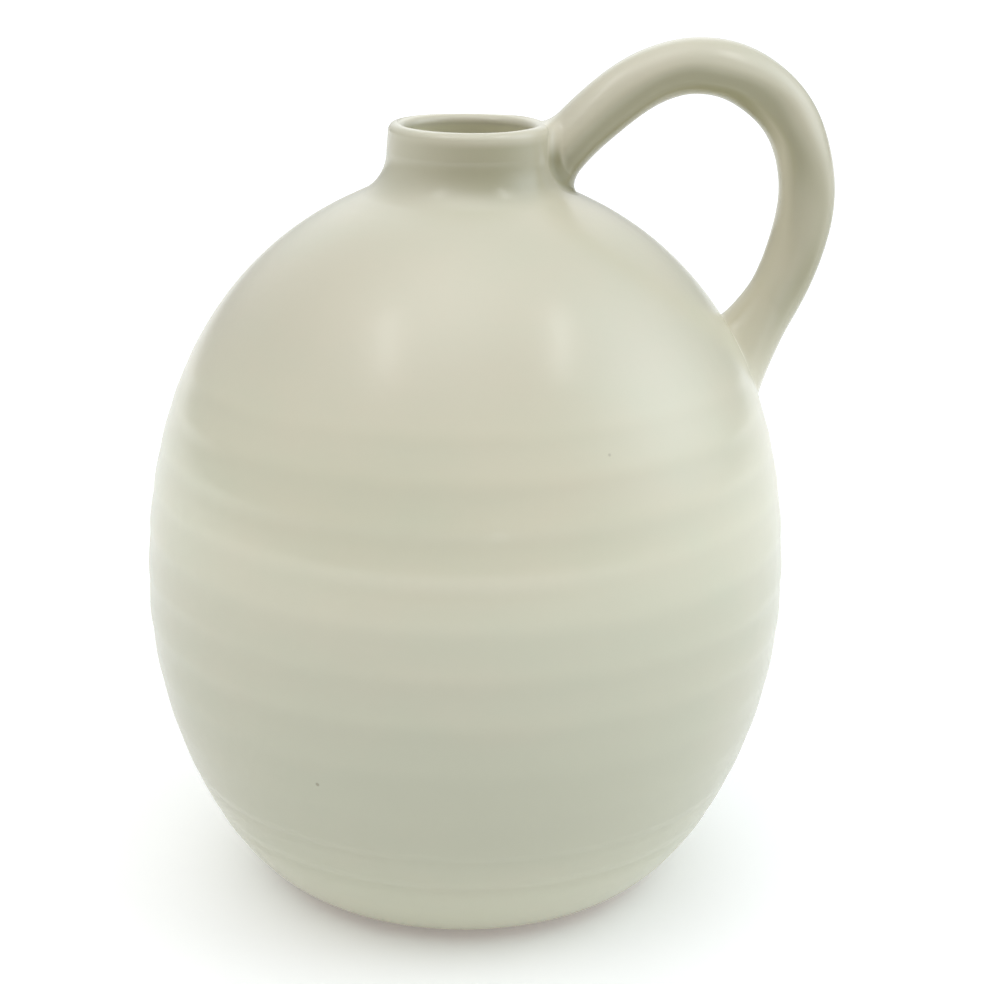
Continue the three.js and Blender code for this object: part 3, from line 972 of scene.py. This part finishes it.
class JUG_OT_belly(bpy.types.Operator):
    """Make the belly: the thrown wall with its rings"""

    bl_idname = "jug.make_belly"
    bl_label = "Make Belly"

    def execute(self, context):
        scene = context.scene
        body = scene.jug_body
        skin = Skin(body, scene.jug_relief)
        low, high = body.floor_thickness, body.shoulder_height
        rows, normals = wall_rows(skin, body.wall_thickness, low, high, RINGED_ROWS, INNER_ROWS)
        material = shared_material("cream_glaze_on_body", body_glaze, scene.jug_finish, body)
        piece = add_piece("thrown_belly", rows, material, "belly", normals)
        add_attribute(piece, RINGS_ATTRIBUTE, self.rings_at(scene.jug_relief, rows))
        return {"FINISHED"}

    @staticmethod
    def rings_at(marks, points):
        """How far each point is up a ring, or down a turned line, with the rings fainter low on the belly."""
        height = points[..., 2]
        turn = np.arctan2(points[..., 1], points[..., 0])
        rings = ring_wave(marks, height, turn) * smooth_step(height, *RING_TONE_COMES_IN)
        return rings - turned_lines(marks, height, turn)


class JUG_OT_neck(bpy.types.Operator):
    """Make the neck: the collar with its rounded lip"""

    bl_idname = "jug.make_neck"
    bl_label = "Make Neck"

    def execute(self, context):
        scene = context.scene
        body = scene.jug_body
        skin = Skin(body, scene.jug_relief)
        wall = body.wall_thickness
        lip_radius = wall / 2
        low, high = body.shoulder_height, body.rim_height - lip_radius

        def inner_lip(turn):
            """The inner quarter of the lip: a quarter arc from the crest down to the mouth."""
            bend = np.linspace(math.pi / 2, math.pi, 14)[1:-1, None, None]
            centre = skin.point(skin.along_at(high), turn, lip_radius)
            up = np.array([0.0, 0.0, 1.0])
            return centre + lip_radius * (np.cos(bend) * lathe(1.0, 0.0, turn) + np.sin(bend) * up)

        rows, normals = wall_rows(skin, wall, low, high, FINE_ROWS, PLAIN_ROWS, inner_lip)
        material = shared_material("cream_glaze_on_body", body_glaze, scene.jug_finish, body)
        add_piece("lipped_neck", rows, material, "neck", normals)
        return {"FINISHED"}


class JUG_OT_handle(bpy.types.Operator):
    """Make the handle: the pulled roll of clay"""

    bl_idname = "jug.make_handle"
    bl_label = "Make Handle"

    def execute(self, context):
        scene = context.scene
        handle = scene.jug_handle
        skin = Skin(scene.jug_body, scene.jug_relief)
        roll = Roll(scene.jug_body, handle, skin)
        bar_rows, cap_rows = 280, 7
        turn = full_turn(HANDLE_COLUMNS)
        shares = np.linspace(0.0, 1.0, cap_rows + 2)[1:-1, None]
        neck_cap = self.cap(roll, skin, turn, shares, True)
        belly_cap = self.cap(roll, skin, turn, shares[::-1], False)
        start = roll.root(skin, turn, 1.0, handle.sink, True)
        end = roll.root(skin, turn, 1.0, handle.sink, False)
        step = np.linspace(0.0, 1.0, bar_rows)[:, None]
        bar = roll.point(start + (end - start) * step, turn)
        rows = np.concatenate([neck_cap, bar, belly_cap])
        middle = np.zeros((1, 1))
        poles = [self.cap(roll, skin, middle[0], middle, at_neck) for at_neck in (True, False)]
        material = shared_material("cream_glaze_on_handle", handle_glaze, scene.jug_finish)
        piece = add_piece("loop_handle", rows, material, "handle", poles=poles)
        # Painted shade on the handle: darker by the direction each point faces, underneath, down the outer side
        # and on the broad sides
        normals = np.zeros_like(rows)
        normals[cap_rows:-cap_rows] = -row_normals(bar)
        add_attribute(piece, PAINTED_SHADE_ATTRIBUTE, handle_painted_shade(normals))
        return {"FINISHED"}

    @staticmethod
    def cap(roll, skin, turn, shares, at_neck):
        """Rings that close an end: where thinner and thinner rolls meet the sunk skin."""
        turns = np.broadcast_to(turn, (len(shares), len(turn)))
        along = roll.root(skin, turns, shares, roll.handle.sink, at_neck)
        return roll.point(along, turns, shares)


class JUG_OT_handle_joints(bpy.types.Operator):
    """Make the clay pressed round both ends of the handle"""

    bl_idname = "jug.make_handle_joints"
    bl_label = "Make Handle Joints"

    def execute(self, context):
        scene = context.scene
        handle = scene.jug_handle
        skin = Skin(scene.jug_body, scene.jug_relief)
        roll = Roll(scene.jug_body, handle, skin)
        material = shared_material("cream_glaze_on_handle", handle_glaze, scene.jug_finish)
        upper_body = (handle.upper_body, handle.upper_body)
        lower_body = (handle.lower_body, handle.lower_notch)
        upper = (handle.upper_outer, handle.upper_inner, upper_body, handle.upper_fullness)
        lower = (handle.lower_outer, handle.lower_inner, lower_body, handle.lower_fullness)
        for name, node, at_neck, reach, corner_shade in (
            ("neck_joint_clay", "upper_handle_joint", True, upper, scene.jug_finish.joint_corner_painted_shade),
            ("belly_joint_clay", "lower_handle_joint", False, lower, 0.0),
        ):
            blend, under = self.fillet(roll, skin, at_neck, *reach)
            rows = np.concatenate([blend, under])
            facing = 1.0 if at_neck else -1.0
            normals = np.concatenate([facing * row_normals(blend), np.zeros_like(under)])
            piece = add_piece(name, rows, material, node, normals)
            on_body = np.clip(np.arange(len(rows)) / (len(blend) - 1), 0.0, 1.0)[:, None]
            below_lip = 1 - smooth_step(rows[..., 2], NECK_HIGH.z - 0.010, NECK_HIGH.z - 0.003)
            # Painted shade on the joints: by the direction each point faces, as on the handle, and in the
            # corner under the handle at the neck
            painted_shade = handle_painted_shade(normals) * (1 - smooth_step(on_body, 0.3, 1.0))
            in_corner = smooth_step(on_body, 0.0, 0.3) * (1 - 0.7 * smooth_step(on_body, 0.6, 1.0))
            painted_corner_shade = corner_shade * below_lip * in_corner
            add_attribute(piece, PAINTED_SHADE_ATTRIBUTE, np.maximum(painted_shade, painted_corner_shade))
            add_attribute(piece, SKIN_ATTRIBUTE, np.broadcast_to(on_body, below_lip.shape))
        return {"FINISHED"}

    @staticmethod
    def fillet(roll, skin, at_neck, outer, inner, over_body, fullness):
        """A ring of clay round one end of the handle: rings of its blend, and rings sunk into the clay below.

        Each slice of the blend is a Bezier curve from the roll to the skin, along the roll at one end and
        along the skin at the other. Its reach up the roll and its reach over the body both go from an outer
        to an inner length with the cosine of the angle.
        """
        turn = full_turn(JOINT_COLUMNS)
        away = 1.0 if at_neck else -1.0
        sink = roll.handle.sink
        root = roll.root(skin, turn, 1.0, 0.0, at_neck)
        corner = roll.point(root, turn)
        corner_radius = np.hypot(corner[:, 0], corner[:, 1])
        corner_turn = np.arctan2(corner[:, 1], corner[:, 0])
        corner_along = skin.nearest(corner)
        outward = (1 + np.cos(turn)) / 2
        reach = inner + (outer - inner) * outward
        spread = over_body[1] + (over_body[0] - over_body[1]) * outward
        clear = roll.point(root, turn, 1.0, spread)
        step_along = skin.nearest(clear) - corner_along
        step_round = (np.arctan2(clear[:, 1], clear[:, 0]) - corner_turn) * corner_radius
        scale = spread / np.hypot(step_along, step_round)

        def on_skin(share, depth=0.0):
            """The point of the skin a share of the way over the body."""
            along = corner_along + step_along * scale * share
            return skin.point(along, corner_turn + step_round * scale * share / corner_radius, depth)

        def on_roll(share, inward=0.0):
            """The point of the roll a share of the way up the handle."""
            return roll.point(root + away * reach * share, turn, 1.0, -inward)

        blend = blend_rows((on_roll(1.0), on_roll(fullness), on_skin(fullness), on_skin(1.0)), 28)
        under = [on_skin(1.12, 0.3 * sink), on_skin(0.9, sink), on_roll(-0.1, sink), on_roll(0.9, sink)]
        return blend, np.stack([*under, on_roll(1.06, 0.25 * sink)])


def blend_rows(ends, steps):
    """Rows of points on cubic Bezier curves, one curve for each column of the four end rows."""
    t = np.linspace(0.0, 1.0, steps)
    weights = np.stack([(1 - t) ** 3, 3 * (1 - t) ** 2 * t, 3 * (1 - t) * t**2, t**3], axis=-1)
    return np.einsum("tk,kij->tij", weights, np.stack(ends))


class JUG_OT_stage(bpy.types.Operator):
    """Make the pale floor, the soft lights and the camera"""

    bl_idname = "jug.make_stage"
    bl_label = "Make Stage"

    def execute(self, context):
        studio = context.scene.jug_studio
        self.add_floor(studio)
        context.scene.world = bpy.data.worlds.new("soft_studio")
        soft_sky(context.scene.world, studio)
        for name, (azimuth, elevation, lean, watts) in STRIP_LAMPS.items():
            direction = studio_direction(studio, azimuth, elevation)
            self.add_lamp(context.scene, studio, name, direction, lean, watts)
        self.add_camera(context.scene, studio)
        context.scene.view_settings.view_transform = "Standard"
        return {"FINISHED"}

    @staticmethod
    def add_floor(studio):
        """A flat disc: a ring of points at the floor's radius."""
        corners = 96
        points = lathe(studio.floor_radius, 0.0, full_turn(corners))
        mesh = bpy.data.meshes.new("floor")
        mesh.from_pydata(points.tolist(), [], [list(range(corners))])
        mesh.materials.append(floor_material(studio))
        floor = bpy.data.objects.new("floor", mesh)
        bpy.context.scene.collection.objects.link(floor)

    @staticmethod
    def add_lamp(scene, studio, name, direction, lean, watts):
        """A tall strip lamp that faces the jug's shoulder and leans to one side by some degrees."""
        data = bpy.data.lights.new(name, "AREA")
        data.shape = "RECTANGLE"
        data.size = studio.lamp_width
        data.size_y = studio.lamp_height
        data.energy = watts
        lamp = bpy.data.objects.new(name, data)
        shoulder = Vector((0, 0, BELLY_HIGH.z))
        facing = (-direction).to_track_quat("-Z", "Y").to_matrix().to_4x4()
        leaning = Matrix.Rotation(math.radians(lean), 4, "Z")
        lamp.matrix_world = Matrix.Translation(shoulder + direction * studio.lamp_distance) @ facing @ leaning
        scene.collection.objects.link(lamp)

    @staticmethod
    def add_camera(scene, studio):
        """The camera, turned about the jug's axis as the photograph's was, without shift or depth of field."""
        data = bpy.data.cameras.new("photo_camera")
        data.sensor_width = 36.0
        data.lens = studio.focal_pixels * data.sensor_width / studio.frame_pixels
        camera = bpy.data.objects.new("photo_camera", data)
        front = Vector((0, -studio.camera_distance, studio.camera_height))
        place = Matrix.Rotation(-studio.handle_turn, 4, "Z") @ front
        heading = Matrix.Rotation(-studio.handle_turn - studio.camera_yaw, 4, "Z")
        tilt = Matrix.Rotation(math.pi / 2 - studio.camera_pitch, 4, "X")
        lean = Matrix.Rotation(studio.camera_roll, 4, "Z")
        camera.matrix_world = Matrix.Translation(place) @ heading @ tilt @ lean
        scene.collection.objects.link(camera)
        scene.camera = camera


class JUG_PT_panel(bpy.types.Panel):
    """The jug's pieces and sizes in the sidebar"""

    bl_idname = "JUG_PT_panel"
    bl_label = "Ceramic Jug"
    bl_space_type = "VIEW_3D"
    bl_region_type = "UI"
    bl_category = "Jug"

    def draw(self, context):
        for operator in STEPS:
            self.layout.operator(operator.bl_idname)
        for pointer, group in GROUPS.items():
            box = self.layout.box()
            for name in group.__annotations__:
                box.prop(getattr(context.scene, pointer), name)


GROUPS = {
    "jug_body": JugBody,
    "jug_relief": JugRelief,
    "jug_handle": JugHandle,
    "jug_finish": JugFinish,
    "jug_studio": JugStudio,
}
STEPS = (JUG_OT_stage, JUG_OT_base, JUG_OT_belly, JUG_OT_neck, JUG_OT_handle, JUG_OT_handle_joints)
CLASSES = (*GROUPS.values(), *STEPS, JUG_PT_panel)


def name_properties(group):
    """Names each property of a group after its attribute, in plain words."""
    for attribute, declared in group.__annotations__.items():
        declared.keywords["name"] = attribute.replace("_", " ").capitalize()


def register():
    for group in GROUPS.values():
        name_properties(group)
    for item in CLASSES:
        bpy.utils.register_class(item)
    for pointer, group in GROUPS.items():
        setattr(bpy.types.Scene, pointer, PointerProperty(type=group))


def unregister():
    for pointer in GROUPS:
        delattr(bpy.types.Scene, pointer)
    for item in reversed(CLASSES):
        bpy.utils.unregister_class(item)


def main():
    """Makes every piece and the stage."""
    register()
    bpy.ops.jug.make_stage()
    bpy.ops.jug.make_base()
    bpy.ops.jug.make_belly()
    bpy.ops.jug.make_neck()
    bpy.ops.jug.make_handle()
    bpy.ops.jug.make_handle_joints()


if __name__ == "__main__":
    main()
